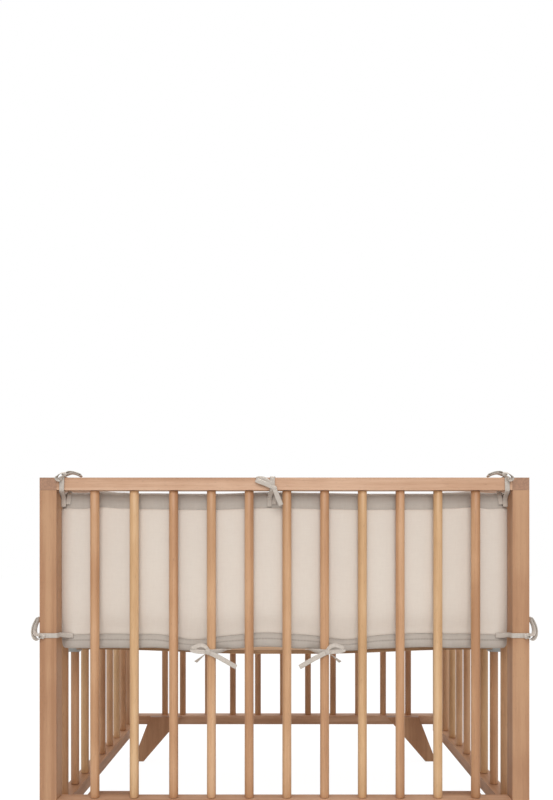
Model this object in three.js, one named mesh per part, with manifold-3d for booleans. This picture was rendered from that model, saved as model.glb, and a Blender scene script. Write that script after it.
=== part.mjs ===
// A padded playpen bumper tied inside a wooden playpen.
// Millimetres, +Z up. The origin is on the floor, in the middle of the playpen's footprint.
// Its front faces -Y.
import * as THREE from "three";
import { mergeVertices } from "three/addons/utils/BufferGeometryUtils.js";
import Module from "manifold-3d";

const wasm = await Module();
wasm.setup();

// Playpen
const penWidth = 1020; // outside, along X
const penDepth = 790; // outside, along Y
const penHeight = 810;
const postSide = 35; // posts are square, and every rail is as deep as a post
const topRailHigh = 26;
const lowRailHigh = 28;
const sideLowRailBase = 82; // underside of the low rails of the two short sides
const dowelRadius = 9.5;
const dowelSides = 12;
const frontDowels = { count: 11, pitch: 79.5, shift: 5 };
const frontStrays = [-7, -3.5]; // the two leftmost dowels of the front stand further out
const rearDowels = { count: 11, pitch: 79.5, shift: -5 }; // the same panel, turned round
const rearStray = 23; // the leftmost dowel of the far side stands further in
const sideDowels = { count: 8, pitch: 82, shift: 0 };
const gap = 0.3; // between pieces that touch

const railBottom = penHeight - topRailHigh;
const sideLowRailTop = sideLowRailBase + lowRailHigh;
const frontLowRailTop = sideLowRailTop + lowRailHigh;
const innerHalfWidth = penWidth / 2 - postSide;
const innerHalfDepth = penDepth / 2 - postSide;
const dowelSetBack = postSide / 2; // of a dowel's axis from the playpen's outside face

// Splayed legs on the inner faces of the two long low rails, as distances from the playpen's middle
const legThick = 22;
const legFoot = { inner: 440, outer: 473 };
const legHead = { inner: 321, outer: 420 };

// Floor board and the steel brackets that carry it
const boardTop = 442.5; // in the middle, where the board hangs lowest
const boardThick = 8;
const boardReach = { x: 450, y: 338 }; // clear of the bumper
const boardSag = { depth: 9.5, from: 60, to: 400, steps: 10 }; // level up to from, level again past to
const bracketDowels = [1, 6]; // which dowels of a short side carry a bracket
const bracketCollar = { half: 13, high: 18, wall: 3 };
const bracketArm = { reach: 62, half: 7, thick: 4 };

// Bumper: one padded strip along the front that turns both corners
const bumperLength = 1800;
const bumperSetBack = dowelSetBack + dowelRadius + 2; // of its outer face from the playpen's outside face
const cornerRadius = 30;
const bumperBase = 452; // bottom edge where nothing pulls it
const bumperTop = 780; // top edge where nothing pulls it
const wingStep = 48;
const frontStep = 26;
const cornerSteps = 4;
const endTaper = { reach: 32, fullness: 0.35 }; // the filling thins out at both ends

// Section of the pad. share: of the height, from the bottom edge.
// outer and inner: how far each face is set back.
const padSection = [
  { share: 0.0, outer: 9.0, inner: 12.5 },
  { share: 0.015, outer: 5.6, inner: 16.0 },
  { share: 0.05, outer: 4.8, inner: 18.5 },
  { share: 0.1, outer: 6.4, inner: 21.0 },
  { share: 0.135, outer: 4.2, inner: 22.5 },
  { share: 0.22, outer: 2.6, inner: 24.0 },
  { share: 0.36, outer: 2.0, inner: 25.0 },
  { share: 0.52, outer: 1.8, inner: 25.5 },
  { share: 0.68, outer: 2.0, inner: 25.0 },
  { share: 0.82, outer: 2.6, inner: 23.5 },
  { share: 0.875, outer: 4.0, inner: 22.0 },
  { share: 0.905, outer: 5.8, inner: 20.5 },
  { share: 0.95, outer: 4.6, inner: 18.0 },
  { share: 0.985, outer: 5.6, inner: 15.5 },
  { share: 1.0, outer: 9.0, inner: 12.5 },
];
const lowerSeam = 3; // rows of padSection where the back panel is sewn in
const upperSeam = 11;
const panelThick = 1.5;
const panelEnd = 26; // from the end of the panel to the end of the bumper

// Where the ties lift the top edge. along: from the middle of the front, round the corners.
const topEdge = [
  { along: -900, lift: 2.5 },
  { along: -700, lift: -2.0 },
  { along: -520, lift: 0.5 },
  { along: -468, lift: 2.5 },
  { along: -430, lift: 1.5 },
  { along: -392, lift: 5.0 },
  { along: -345, lift: 2.5 },
  { along: -310, lift: 0.5 },
  { along: -150, lift: -0.5 },
  { along: -28, lift: 3.0 },
  { along: 60, lift: 1.5 },
  { along: 190, lift: -0.5 },
  { along: 315, lift: -0.5 },
  { along: 350, lift: 2.5 },
  { along: 400, lift: 5.0 },
  { along: 438, lift: 1.0 },
  { along: 468, lift: 2.5 },
  { along: 520, lift: 0.5 },
  { along: 700, lift: -2.0 },
  { along: 900, lift: 2.5 },
];
// Where the ties pull the bottom edge down, between slack stretches that arch up.
const bottomEdge = [
  { along: -900, lift: -3.0 },
  { along: -720, lift: 0.0 },
  { along: -480, lift: -3.0 },
  { along: -330, lift: -3.0 },
  { along: -281, lift: -1.5 },
  { along: -195, lift: -7.0 },
  { along: -115, lift: -3.5 },
  { along: -40, lift: 0.5 },
  { along: 45, lift: -3.5 },
  { along: 130, lift: -7.0 },
  { along: 209, lift: -3.0 },
  { along: 300, lift: -0.5 },
  { along: 370, lift: -3.0 },
  { along: 480, lift: -3.0 },
  { along: 720, lift: 0.0 },
  { along: 900, lift: -3.0 },
];
// Soft upright folds, where the strip stands further in than the dowels
const uprightFolds = [
  { along: -362, depth: 6.0, spread: 42 },
  { along: -205, depth: 1.6, spread: 60 },
  { along: 118, depth: 1.8, spread: 60 },
  { along: 385, depth: 6.5, spread: 40 },
  { along: -640, depth: 4.0, spread: 60 },
  { along: 655, depth: 4.5, spread: 60 },
];

// Ties: flat ribbons of the band's cloth
const ribbonWide = 10;
const ribbonThick = 1.6;
const ribbonLift = gap + ribbonThick / 2; // from a face to the middle of a ribbon lying on it
const cornerTieAlong = 466; // of the two top corner ties, from the middle of the front
const middleTieAlong = -28;
const leftTieDowel = 3; // the low ties in the middle go round these front dowels
const rightTieDowel = 6;
const wingTieAlong = 856;
const wingTieDowel = 4;

const beech = (tint) => new THREE.MeshStandardMaterial({ color: tint, roughness: 0.5, metalness: 0 });
const finishes = {
  rail: beech(0xc89a78),
  dowel: beech(0xc99a70),
  board: beech(0xb98a5e),
  steel: new THREE.MeshStandardMaterial({ color: 0x9a9c98, roughness: 0.35, metalness: 1 }),
  band: new THREE.MeshStandardMaterial({ color: 0xb4a698, roughness: 0.95, metalness: 0 }),
  panel: new THREE.MeshStandardMaterial({ color: 0xdad0c4, roughness: 0.95, metalness: 0 }),
};

const model = new THREE.Group();

function place(name, geometry, finish, parent = model) {
  const mesh = new THREE.Mesh(geometry, finish);
  mesh.name = name;
  parent.add(mesh);
  return mesh;
}

const vector = (x, y, z) => new THREE.Vector3(x, y, z);

// Closed meshes, joined and cut

function solidOf(geometry) {
  const bare = geometry.clone();
  bare.deleteAttribute("normal");
  bare.deleteAttribute("uv");
  const merged = mergeVertices(bare, 1e-4);
  return new wasm.Manifold(
    new wasm.Mesh({
      numProp: 3,
      vertProperties: new Float32Array(merged.attributes.position.array),
      triVerts: new Uint32Array(merged.index.array),
    }),
  );
}

function geometryOf(solid) {
  const mesh = solid.getMesh();
  const geometry = new THREE.BufferGeometry();
  geometry.setAttribute("position", new THREE.BufferAttribute(mesh.vertProperties, 3));
  geometry.setIndex(new THREE.BufferAttribute(mesh.triVerts, 1));
  geometry.computeVertexNormals();
  return geometry;
}

function joined(geometries) {
  return geometryOf(geometries.map(solidOf).reduce((whole, piece) => whole.add(piece)));
}

// The closed solid between two grids of points, each grid[row][column] facing its partner.
function slab(outerGrid, innerGrid) {
  const rows = outerGrid.length;
  const columns = outerGrid[0].length;
  const positions = [];
  for (const grid of [outerGrid, innerGrid]) {
    for (const row of grid) {
      for (const point of row) positions.push(point.x, point.y, point.z);
    }
  }
  const outer = (row, column) => row * columns + column;
  const inner = (row, column) => rows * columns + outer(row, column);
  const faces = [];
  const quad = (a, b, c, d) => faces.push(a, b, c, a, c, d);
  for (let row = 0; row < rows - 1; row++) {
    for (let column = 0; column < columns - 1; column++) {
      const next = [row + 1, column + 1];
      quad(outer(row, column), outer(next[0], column), outer(next[0], next[1]), outer(row, next[1]));
      quad(inner(row, column), inner(row, next[1]), inner(next[0], next[1]), inner(next[0], column));
    }
  }
  for (let row = 0; row < rows - 1; row++) {
    const last = columns - 1;
    quad(outer(row, 0), inner(row, 0), inner(row + 1, 0), outer(row + 1, 0));
    quad(outer(row, last), outer(row + 1, last), inner(row + 1, last), inner(row, last));
  }
  for (let column = 0; column < columns - 1; column++) {
    const last = rows - 1;
    quad(outer(0, column), outer(0, column + 1), inner(0, column + 1), inner(0, column));
    quad(outer(last, column), inner(last, column), inner(last, column + 1), outer(last, column + 1));
  }
  const geometry = new THREE.BufferGeometry();
  geometry.setAttribute("position", new THREE.Float32BufferAttribute(positions, 3));
  geometry.setIndex(faces);
  if (solidOf(geometry).volume() < 0) {
    for (let i = 0; i < faces.length; i += 3) [faces[i], faces[i + 1]] = [faces[i + 1], faces[i]];
    geometry.setIndex(faces);
  }
  geometry.computeVertexNormals();
  return geometry;
}

function block(low, high) {
  const size = high.clone().sub(low);
  const middle = low.clone().add(high).multiplyScalar(0.5);
  return new THREE.BoxGeometry(size.x, size.y, size.z).translate(middle.x, middle.y, middle.z);
}

function dowel(x, y, bottom, top) {
  const rod = new THREE.CylinderGeometry(dowelRadius, dowelRadius, top - bottom, dowelSides);
  return rod.rotateX(Math.PI / 2).translate(x, y, (bottom + top) / 2);
}

// Evenly spaced places, centred on the shift
function spread({ count, pitch, shift }) {
  return Array.from({ length: count }, (_, index) => (index - (count - 1) / 2) * pitch + shift);
}

// Playpen frame

function addPosts() {
  const low = vector(-postSide / 2, -postSide / 2, sideLowRailTop + gap);
  const high = vector(postSide / 2, postSide / 2, railBottom - gap);
  for (const [side, x] of [["left", -1], ["right", 1]]) {
    for (const [end, y] of [["front", -1], ["rear", 1]]) {
      const post = place(`post_${end}_${side}`, block(low, high), finishes.rail);
      post.position.set(x * (penWidth - postSide) / 2, y * (penDepth - postSide) / 2, 0);
    }
  }
}

function longRail(bottom, top, y) {
  const reach = innerHalfWidth - gap;
  return block(vector(-reach, y - postSide / 2, bottom), vector(reach, y + postSide / 2, top));
}

function addShortSides() {
  const half = vector(postSide / 2, penDepth / 2, 0);
  const rail = (low, high) => block(vector(-half.x, -half.y, low), vector(half.x, half.y, high));
  for (const [side, turn] of [["left", -1], ["right", 1]]) {
    const panel = new THREE.Group();
    panel.position.x = turn * (penWidth / 2 - dowelSetBack);
    model.add(panel);
    place(`top_rail_${side}`, rail(railBottom, penHeight), finishes.rail, panel);
    place(`low_rail_${side}`, rail(sideLowRailBase, sideLowRailTop), finishes.rail, panel);
    spread(sideDowels).forEach((y, index) => {
      const rod = dowel(0, y, sideLowRailTop + gap, railBottom - gap);
      place(`dowel_${side}_${index + 1}`, rod, finishes.dowel, panel);
    });
  }
}

function addFront() {
  const y = -(penDepth / 2 - dowelSetBack);
  place("top_rail_front", longRail(railBottom, penHeight, y), finishes.rail);
  place("low_rail_front", longRail(sideLowRailTop, frontLowRailTop, y), finishes.rail);
  spread(frontDowels).forEach((x, index) => {
    const rod = dowel(x + (frontStrays[index] ?? 0), y, frontLowRailTop + gap, railBottom - gap);
    place(`dowel_front_${index + 1}`, rod, finishes.dowel);
  });
}

// The far side is one glued grille: both rails and the dowels let into them.
function addRearGrille() {
  const y = penDepth / 2 - dowelSetBack;
  const socket = 8;
  const places = spread(rearDowels);
  places[0] += rearStray;
  const rods = places.map((x) => dowel(x, y, frontLowRailTop - socket, railBottom + socket));
  const rails = [longRail(railBottom, penHeight, y), longRail(sideLowRailTop, frontLowRailTop, y)];
  place("rear_grille", joined([...rails, ...rods]), finishes.rail);
}

function addLegs() {
  const outline = new THREE.Shape([
    new THREE.Vector2(legFoot.inner, 0),
    new THREE.Vector2(legFoot.outer, 0),
    new THREE.Vector2(legHead.outer, frontLowRailTop),
    new THREE.Vector2(legHead.inner, frontLowRailTop),
  ]);
  for (const [side, x] of [["left", -1], ["right", 1]]) {
    for (const [end, y] of [["front", -1], ["rear", 1]]) {
      const plank = new THREE.ExtrudeGeometry(outline, { depth: legThick, bevelEnabled: false });
      plank.rotateX(Math.PI / 2).translate(0, legThick / 2, 0);
      const leg = place(`leg_${end}_${side}`, plank, finishes.rail);
      leg.position.y = y * (innerHalfDepth - gap - legThick / 2);
      leg.scale.x = x;
    }
  }
}

function addBoard() {
  const { depth, from, to, steps } = boardSag;
  const right = Array.from({ length: steps + 1 }, (_, index) => {
    const share = index / steps;
    const rise = (depth * (1 - Math.cos(Math.PI * share))) / 2;
    return new THREE.Vector2(from + (to - from) * share, boardTop + rise);
  });
  right.push(new THREE.Vector2(boardReach.x, boardTop + depth));
  const left = right.map(({ x, y }) => new THREE.Vector2(-x, y)).reverse();
  const top = [...left, ...right];
  const underside = top.map(({ x, y }) => new THREE.Vector2(x, y - boardThick)).reverse();
  const outline = new THREE.Shape([...top, ...underside]);
  const sheet = new THREE.ExtrudeGeometry(outline, { depth: 2 * boardReach.y, bevelEnabled: false });
  place("floor_board", sheet.rotateX(Math.PI / 2).translate(0, boardReach.y, 0), finishes.board);
}

// A collar round a dowel, with an arm that reaches in under the board
function addBrackets() {
  const top = boardTop + boardSag.depth - boardThick - gap;
  const under = top - bracketArm.thick;
  const { half, high, wall } = bracketCollar;
  const collar = block(vector(-half, -half, under - high), vector(half, half, under));
  const arm = block(
    vector(dowelRadius + wall, -bracketArm.half, under - wall),
    vector(bracketArm.reach, bracketArm.half, top),
  );
  const hole = new THREE.CylinderGeometry(dowelRadius + gap, dowelRadius + gap, penHeight, dowelSides);
  hole.rotateX(Math.PI / 2).translate(0, 0, penHeight / 2);
  const bracket = geometryOf(solidOf(collar).add(solidOf(arm)).subtract(solidOf(hole)));
  const places = spread(sideDowels);
  for (const [side, x] of [["left", -1], ["right", 1]]) {
    bracketDowels.forEach((index, order) => {
      const mesh = place(`bracket_${side}_${order + 1}`, bracket.clone(), finishes.steel);
      mesh.position.set(x * (penWidth / 2 - dowelSetBack), places[index], 0);
      mesh.scale.x = -x;
    });
  }
}

// Bumper

const frontRun = penWidth / 2 - bumperSetBack - cornerRadius; // half of the straight front
const cornerRun = (cornerRadius * Math.PI) / 2;
const frontPlane = -(penDepth / 2 - bumperSetBack);

// Plan of the bumper's outer face: where it is and which way is in, at a distance along it from the middle.
function planAt(along) {
  const side = Math.sign(along) || 1;
  const far = Math.abs(along);
  if (far <= frontRun) return { x: along, y: frontPlane, inX: 0, inY: 1 };
  const turn = Math.min(far - frontRun, cornerRun) / cornerRadius;
  const past = Math.max(0, far - frontRun - cornerRun);
  return {
    x: side * (frontRun + cornerRadius * Math.sin(turn)),
    y: frontPlane + cornerRadius * (1 - Math.cos(turn)) + past,
    inX: -side * Math.sin(turn),
    inY: Math.cos(turn),
  };
}

// A smooth value between the rows of an edge table
function liftAt(table, along) {
  const next = table.findIndex((row) => row.along >= along);
  if (next <= 0) return table[next === 0 ? 0 : table.length - 1].lift;
  const [from, to] = [table[next - 1], table[next]];
  const share = (along - from.along) / (to.along - from.along);
  return from.lift + (to.lift - from.lift) * (1 - Math.cos(Math.PI * share)) / 2;
}

function foldAt(along) {
  return uprightFolds.reduce(
    (sum, fold) => sum + fold.depth * Math.exp(-(((along - fold.along) / fold.spread) ** 2)),
    0,
  );
}

function heightAt(along, share) {
  const base = bumperBase + liftAt(bottomEdge, along);
  const top = bumperTop + liftAt(topEdge, along);
  return base + (top - base) * share;
}

// A point of the bumper, set back from its outer plane
function bumperPoint(along, share, setBack) {
  const plan = planAt(along);
  const depth = setBack + foldAt(along);
  return vector(plan.x + plan.inX * depth, plan.y + plan.inY * depth, heightAt(along, share));
}

// Places along the strip: close together on the front and in the corners, wider on the two wings
function padStations() {
  const end = bumperLength / 2;
  const corner = frontRun + cornerRun;
  const stops = new Set();
  const fill = (from, to, step) => {
    const count = Math.max(1, Math.round((to - from) / step));
    for (let i = 0; i <= count; i++) stops.add(from + ((to - from) * i) / count);
  };
  fill(0, frontRun, frontStep);
  fill(frontRun, corner, cornerRun / cornerSteps);
  fill(corner, end - endTaper.reach, wingStep);
  fill(end - endTaper.reach, end, endTaper.reach / 3);
  const right = [...stops].sort((a, b) => a - b);
  return [...right.slice(1).reverse().map((along) => -along), ...right];
}

function fullnessAt(along) {
  const left = Math.min(1, (bumperLength / 2 - Math.abs(along)) / endTaper.reach);
  return endTaper.fullness + (1 - endTaper.fullness) * Math.sin((left * Math.PI) / 2);
}

// A face of the pad at one row of its section, drawn in towards the middle of its thickness at the ends
function padSetBack(along, row, face) {
  const middle = (row.outer + row.inner) / 2;
  return middle + (row[face] - middle) * fullnessAt(along);
}

// Points of a face of the pad, raised out of it
function padGrid(stations, rows, face, rise) {
  const pointAt = (along, row) => bumperPoint(along, row.share, padSetBack(along, row, face) - rise);
  return stations.map((along) => rows.map((row) => pointAt(along, row)));
}

function addPad() {
  const stations = padStations();
  const [outer, inner] = ["outer", "inner"].map((face) => padGrid(stations, padSection, face, 0));
  place("bumper_pad", slab(outer, inner), finishes.band);
}

// The back panel lies on the pad's outer face, between the two seams.
function addBackPanel() {
  const end = bumperLength / 2 - panelEnd;
  const stations = [-end, ...padStations().filter((along) => Math.abs(along) < end), end];
  const rows = padSection.slice(lowerSeam, upperSeam + 1);
  const face = (rise) => padGrid(stations, rows, "outer", rise);
  place("back_panel", slab(face(gap + panelThick), face(gap)), finishes.panel);
}

// Ties

const pointOf = ({ x, y, z }) => vector(x, y, z);

// Evenly spaced points on a smooth line through the stops
function smooth(stops, steps) {
  return new THREE.CatmullRomCurve3(stops.map(pointOf), false, "centripetal").getSpacedPoints(steps);
}

// A flat ribbon along a line of points. from and to: the way its width runs at its two ends.
function ribbon(points, from, to = from) {
  const corners = { outer: [], inner: [] };
  points.forEach((middle, index) => {
    const before = points[Math.max(0, index - 1)];
    const after = points[Math.min(points.length - 1, index + 1)];
    const along = after.clone().sub(before).normalize();
    const across = from.clone().lerp(to, index / (points.length - 1));
    const wide = across.clone().addScaledVector(along, -across.dot(along)).setLength(ribbonWide / 2);
    const thick = along.clone().cross(wide).setLength(ribbonThick / 2);
    for (const [face, sign] of [["outer", 1], ["inner", -1]]) {
      const edge = middle.clone().addScaledVector(thick, sign);
      corners[face].push([edge.clone().sub(wide), edge.clone().add(wide)]);
    }
  });
  return slab(corners.outer, corners.inner);
}

function knot(middle, size) {
  const ball = new THREE.IcosahedronGeometry(1, 1);
  return ball.scale(size.x, size.y, size.z).translate(middle.x, middle.y, middle.z);
}

const alongX = vector(1, 0, 0);
const alongY = vector(0, 1, 0);
const alongZ = vector(0, 0, 1);

// How far a ribbon lying on the band is from the playpen's outside face
const onUpperBand = bumperSetBack + padSection[12].outer - ribbonLift;
const onLowerBand = bumperSetBack + padSection[2].outer - ribbonLift;

// The two straps of a tie round a top rail: up its front, and down behind it.
// x: along the rail, y: in from its outside face.
function railStraps() {
  const off = ribbonLift + 1;
  const back = postSide + off;
  const up = [
    { x: 0, y: onUpperBand, z: bumperTop - 27.5 },
    { x: 0, y: onUpperBand, z: bumperTop - 13 },
    { x: 0, y: onUpperBand - 6, z: railBottom - 11 },
    { x: 0, y: 8, z: railBottom - 4.5 },
    { x: 0, y: 0, z: railBottom - off },
    { x: 0, y: -off, z: railBottom + 0.6 },
    { x: 0, y: -off, z: penHeight },
    { x: 1, y: -off * 0.6, z: penHeight + off * 0.8 },
    { x: 1, y: 0.6, z: penHeight + off },
    { x: 3, y: postSide / 2, z: penHeight + off },
  ];
  const down = [
    { x: 2, y: postSide / 2 - 4, z: penHeight + off },
    { x: 5, y: postSide - 0.6, z: penHeight + off },
    { x: 5, y: postSide + off * 0.6, z: penHeight + off * 0.8 },
    { x: 6, y: back, z: penHeight },
    { x: 8, y: back, z: railBottom + 1 },
    { x: 8.5, y: postSide + 0.6, z: railBottom - 2.2 },
    { x: 8, y: onUpperBand - 0.2, z: bumperTop - 3 },
    { x: 5.5, y: onUpperBand, z: bumperTop - 24 },
  ];
  return [up, down].map((stops) => ribbon(stops.map(pointOf), alongX));
}

// A tie at the end of a top rail: a long flat loop along its top, and a short one down its front.
function railTie() {
  const top = penHeight;
  const longLoop = [
    { x: 6, y: 3, z: top + 6 },
    { x: 13, y: 5, z: top + 11.4 },
    { x: 21, y: 6, z: top + 12 },
    { x: 32, y: 6.5, z: top + 9.6 },
    { x: 45, y: 6, z: top + 4.2 },
    { x: 43, y: 6, z: top + 2.4 },
    { x: 32, y: 6.5, z: top + 6 },
    { x: 21, y: 6, z: top + 8 },
    { x: 12, y: 5, z: top + 6 },
    { x: 6, y: 3, z: top + 3.6 },
  ];
  const shortLoop = [
    { x: 9, y: -5.6, z: top + 9 },
    { x: 2, y: -6.6, z: top + 8 },
    { x: -6.5, y: -7, z: top - 0.5 },
    { x: -4, y: -7, z: top - 5 },
    { x: 2.5, y: -7, z: top - 6 },
    { x: 4, y: -6.8, z: top - 1 },
    { x: 9, y: -5.6, z: top + 6 },
  ];
  const middle = knot(vector(8, -1.8, top + 6.6), vector(5.6, 4.6, 4.4));
  const loops = [ribbon(smooth(longLoop, 15), alongY), ribbon(smooth(shortLoop, 12), alongY)];
  return joined([...railStraps(), ...loops, middle]);
}

// The tie in the middle of the front: a loop up across the rail, a free end hanging over the band.
function middleTie() {
  const bottom = railBottom;
  const loop = [
    { x: 6, y: -4.4, z: bottom + 4 },
    { x: -10, y: -8.2, z: bottom + 12 },
    { x: -26, y: -8.4, z: bottom + 18 },
    { x: -31, y: -6, z: bottom + 21 },
    { x: -28, y: -3.4, z: bottom + 23 },
    { x: -14, y: -3.4, z: bottom + 22 },
    { x: 6, y: -3.4, z: bottom + 7 },
  ];
  const freeEnd = [
    { x: 6, y: -4.6, z: bottom + 6 },
    { x: 10, y: -6.6, z: bottom - 5 },
    { x: 15, y: -4.5, z: bottom - 18 },
    { x: 21, y: -1.5, z: bottom - 32 },
  ];
  const middle = knot(vector(6.5, -4.4, bottom + 3.5), vector(6, 3.6, 5.6));
  const bow = ribbon(smooth(loop, 12), vector(0.3, 0, 0.95));
  const end = ribbon(smooth(freeEnd, 6), vector(0.9, 0.15, 0.42));
  return joined([...railStraps(), bow, end, middle]);
}

// A tie round a front post, at the low end of the bumper.
// x: in from the post's outer side, y: in from its front.
function postTie() {
  const off = ribbonLift + 1;
  const back = postSide + off;
  const high = bumperBase + 29;
  const low = bumperBase + 25; // on the bumper itself
  const strap = [
    { x: postSide + 26, y: onLowerBand, z: low },
    { x: postSide + 15, y: onLowerBand - 3, z: low },
    { x: postSide + 4, y: 16, z: high },
    { x: back, y: 1, z: high },
    { x: postSide + off * 0.6, y: -off * 0.8, z: high },
    { x: postSide - 1, y: -off, z: high },
    { x: 1, y: -off, z: high },
    { x: -off * 0.8, y: -off * 0.6, z: high },
    { x: -off, y: 1, z: high },
    { x: -off, y: postSide - 1, z: high },
    { x: -off * 0.8, y: postSide + off * 0.6, z: high },
    { x: 1, y: back, z: high },
    { x: 18, y: back + 0.6, z: high - 1 },
    { x: onLowerBand - 3, y: postSide + 7, z: low },
    { x: onLowerBand, y: postSide + 25, z: low },
  ];
  const loop = [
    { x: 7, y: -7.2, z: high - 3 },
    { x: -1.5, y: -7, z: high - 8 },
    { x: -9.5, y: -4, z: high - 4 },
    { x: -14, y: 0, z: high + 8 },
    { x: -12, y: 2, z: high + 22 },
    { x: -3.6, y: 3, z: high + 38 },
    { x: -3.4, y: 3, z: high + 32 },
    { x: -8, y: 1, z: high + 19 },
    { x: -8.5, y: -2, z: high + 8 },
    { x: -3.5, y: -7, z: high + 1 },
    { x: 7, y: -7.2, z: high + 1 },
  ];
  const middle = knot(vector(8, -4.4, high - 1), vector(5.6, 3.6, 5.6));
  return joined([ribbon(strap.map(pointOf), alongZ), ribbon(smooth(loop, 18), alongY), middle]);
}

// A tie round a dowel at the bottom edge.
// x: along the bumper from the dowel, towards where the tie is sewn on.
function dowelTie() {
  const high = bumperBase - 6;
  const underEdge = high + 1.2;
  const ring = dowelRadius + ribbonLift + 0.6;
  const onRing = (degrees) => {
    const angle = THREE.MathUtils.degToRad(degrees);
    return { x: ring * Math.cos(angle), y: dowelSetBack + ring * Math.sin(angle), z: high };
  };
  const round = [-50, -80, -110, -140, -170, -200, -230, -260].map(onRing);
  const frontStrap = [
    onRing(-50),
    { x: 18, y: 16, z: high + 0.4 },
    { x: 28, y: 25, z: high + 0.8 },
    { x: 38, y: bumperSetBack + 5, z: underEdge },
  ];
  const backStrap = [
    onRing(-260),
    { x: 12, y: bumperSetBack - 0.2, z: high + 0.4 },
    { x: 25, y: bumperSetBack + 3, z: underEdge },
  ];
  const loop = [
    { x: -4, y: 4, z: high },
    { x: -17, y: 0, z: high + 1 },
    { x: -31, y: 0, z: high + 2.5 },
    { x: -40, y: 2, z: high + 6 },
    { x: -33, y: 5, z: high + 10.5 },
    { x: -22, y: 6, z: high + 14 },
    { x: -13, y: 6, z: high + 12 },
    { x: -4, y: 4, z: high + 3 },
  ];
  const longEnd = [
    { x: -7, y: 3.5, z: high },
    { x: 6, y: 2.2, z: high - 5 },
    { x: 30, y: 3.5, z: high - 18 },
    { x: 53, y: 6.5, z: high - 32 },
  ];
  const shortEnd = [
    { x: -8, y: 3.5, z: high - 2 },
    { x: -19, y: 5, z: high - 10 },
    { x: -32, y: 6.5, z: high - 21 },
  ];
  const middle = knot(vector(-6, 2.6, high), vector(6, 4.2, 5.6));
  const flat = vector(0, -1, 0);
  return joined([
    ribbon(round.map(pointOf), alongZ),
    ribbon(frontStrap.map(pointOf), alongZ, flat),
    ribbon(backStrap.map(pointOf), alongZ, flat),
    ribbon(smooth(loop, 14), vector(0.1, 0.62, 0.78)),
    ribbon(smooth(longEnd, 6), vector(0.46, 0, 0.89)),
    ribbon(smooth(shortEnd, 3), alongY),
    middle,
  ]);
}

function addTies() {
  const front = new THREE.Group();
  front.position.y = -penDepth / 2;
  model.add(front);
  for (const [side, x] of [["left", -1], ["right", 1]]) {
    const corner = place(`tie_top_${side}`, railTie(), finishes.band, front);
    corner.position.x = x * cornerTieAlong;
    corner.scale.x = -x;
    const post = place(`tie_post_${side}`, postTie(), finishes.band, front);
    post.position.x = (x * penWidth) / 2;
    post.scale.x = -x;
  }
  place("tie_top_middle", middleTie(), finishes.band, front).position.x = middleTieAlong;
  const frontPlaces = spread(frontDowels);
  place("tie_low_left", dowelTie(), finishes.band, front).position.x = frontPlaces[leftTieDowel];
  const lowRight = place("tie_low_right", dowelTie(), finishes.band, front);
  lowRight.position.x = frontPlaces[rightTieDowel];
  lowRight.scale.x = -1;

  // The ends of the wings are tied to the short sides in the same two ways.
  const wingEnd = planAt(wingTieAlong).y;
  for (const [side, x] of [["left", -1], ["right", 1]]) {
    const turned = new THREE.Group();
    turned.position.x = (x * penWidth) / 2;
    turned.rotation.z = (x * Math.PI) / 2;
    model.add(turned);
    const top = place(`wing_tie_top_${side}`, railTie(), finishes.band, turned);
    top.position.x = x * wingEnd;
    top.scale.x = -x;
    const low = place(`wing_tie_low_${side}`, dowelTie(), finishes.band, turned);
    low.position.x = x * spread(sideDowels)[wingTieDowel];
    low.scale.x = -x;
  }
}

addPosts();
addShortSides();
addFront();
addRearGrille();
addLegs();
addBoard();
addBrackets();
addPad();
addBackPanel();
addTies();

export default model;
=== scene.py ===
import math

import bmesh
import bpy
import numpy as np
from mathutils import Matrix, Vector


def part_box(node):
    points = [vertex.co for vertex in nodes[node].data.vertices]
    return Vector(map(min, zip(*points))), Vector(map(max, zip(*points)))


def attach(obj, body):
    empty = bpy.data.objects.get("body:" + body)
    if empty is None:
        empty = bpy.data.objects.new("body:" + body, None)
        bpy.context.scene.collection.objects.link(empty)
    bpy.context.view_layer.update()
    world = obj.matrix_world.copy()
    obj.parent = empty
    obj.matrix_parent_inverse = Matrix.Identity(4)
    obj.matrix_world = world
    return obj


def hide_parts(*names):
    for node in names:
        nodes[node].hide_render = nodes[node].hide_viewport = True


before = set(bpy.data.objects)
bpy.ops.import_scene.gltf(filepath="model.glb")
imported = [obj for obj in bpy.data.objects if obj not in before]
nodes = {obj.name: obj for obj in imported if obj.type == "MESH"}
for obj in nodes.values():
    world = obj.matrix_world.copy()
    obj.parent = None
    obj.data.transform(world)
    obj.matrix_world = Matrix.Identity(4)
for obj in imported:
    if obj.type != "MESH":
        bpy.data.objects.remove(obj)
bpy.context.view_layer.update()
mm = 0.001
print("frame:", len(nodes), "nodes")


# shader maths as plain expressions
class Wire:
    def __init__(self, finish, socket):
        self.finish = finish
        self.socket = socket

    def join(self, operation, first, second):
        if self.socket.type == "VECTOR":
            return self.finish.add("ShaderNodeVectorMath", {"operation": operation}, {0: first, 1: second})
        return self.finish.add("ShaderNodeMath", {"operation": operation}, {0: first, 1: second})

    def __add__(self, other):
        return self.join("ADD", self, other)

    def __sub__(self, other):
        return self.join("SUBTRACT", self, other)

    def __rsub__(self, other):
        return self.join("SUBTRACT", other, self)

    def __mul__(self, other):
        return self.join("MULTIPLY", self, other)

    def __abs__(self):
        return self.join("ABSOLUTE", self, 0.0)

    def __gt__(self, other):
        return self.join("GREATER_THAN", self, other)


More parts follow.
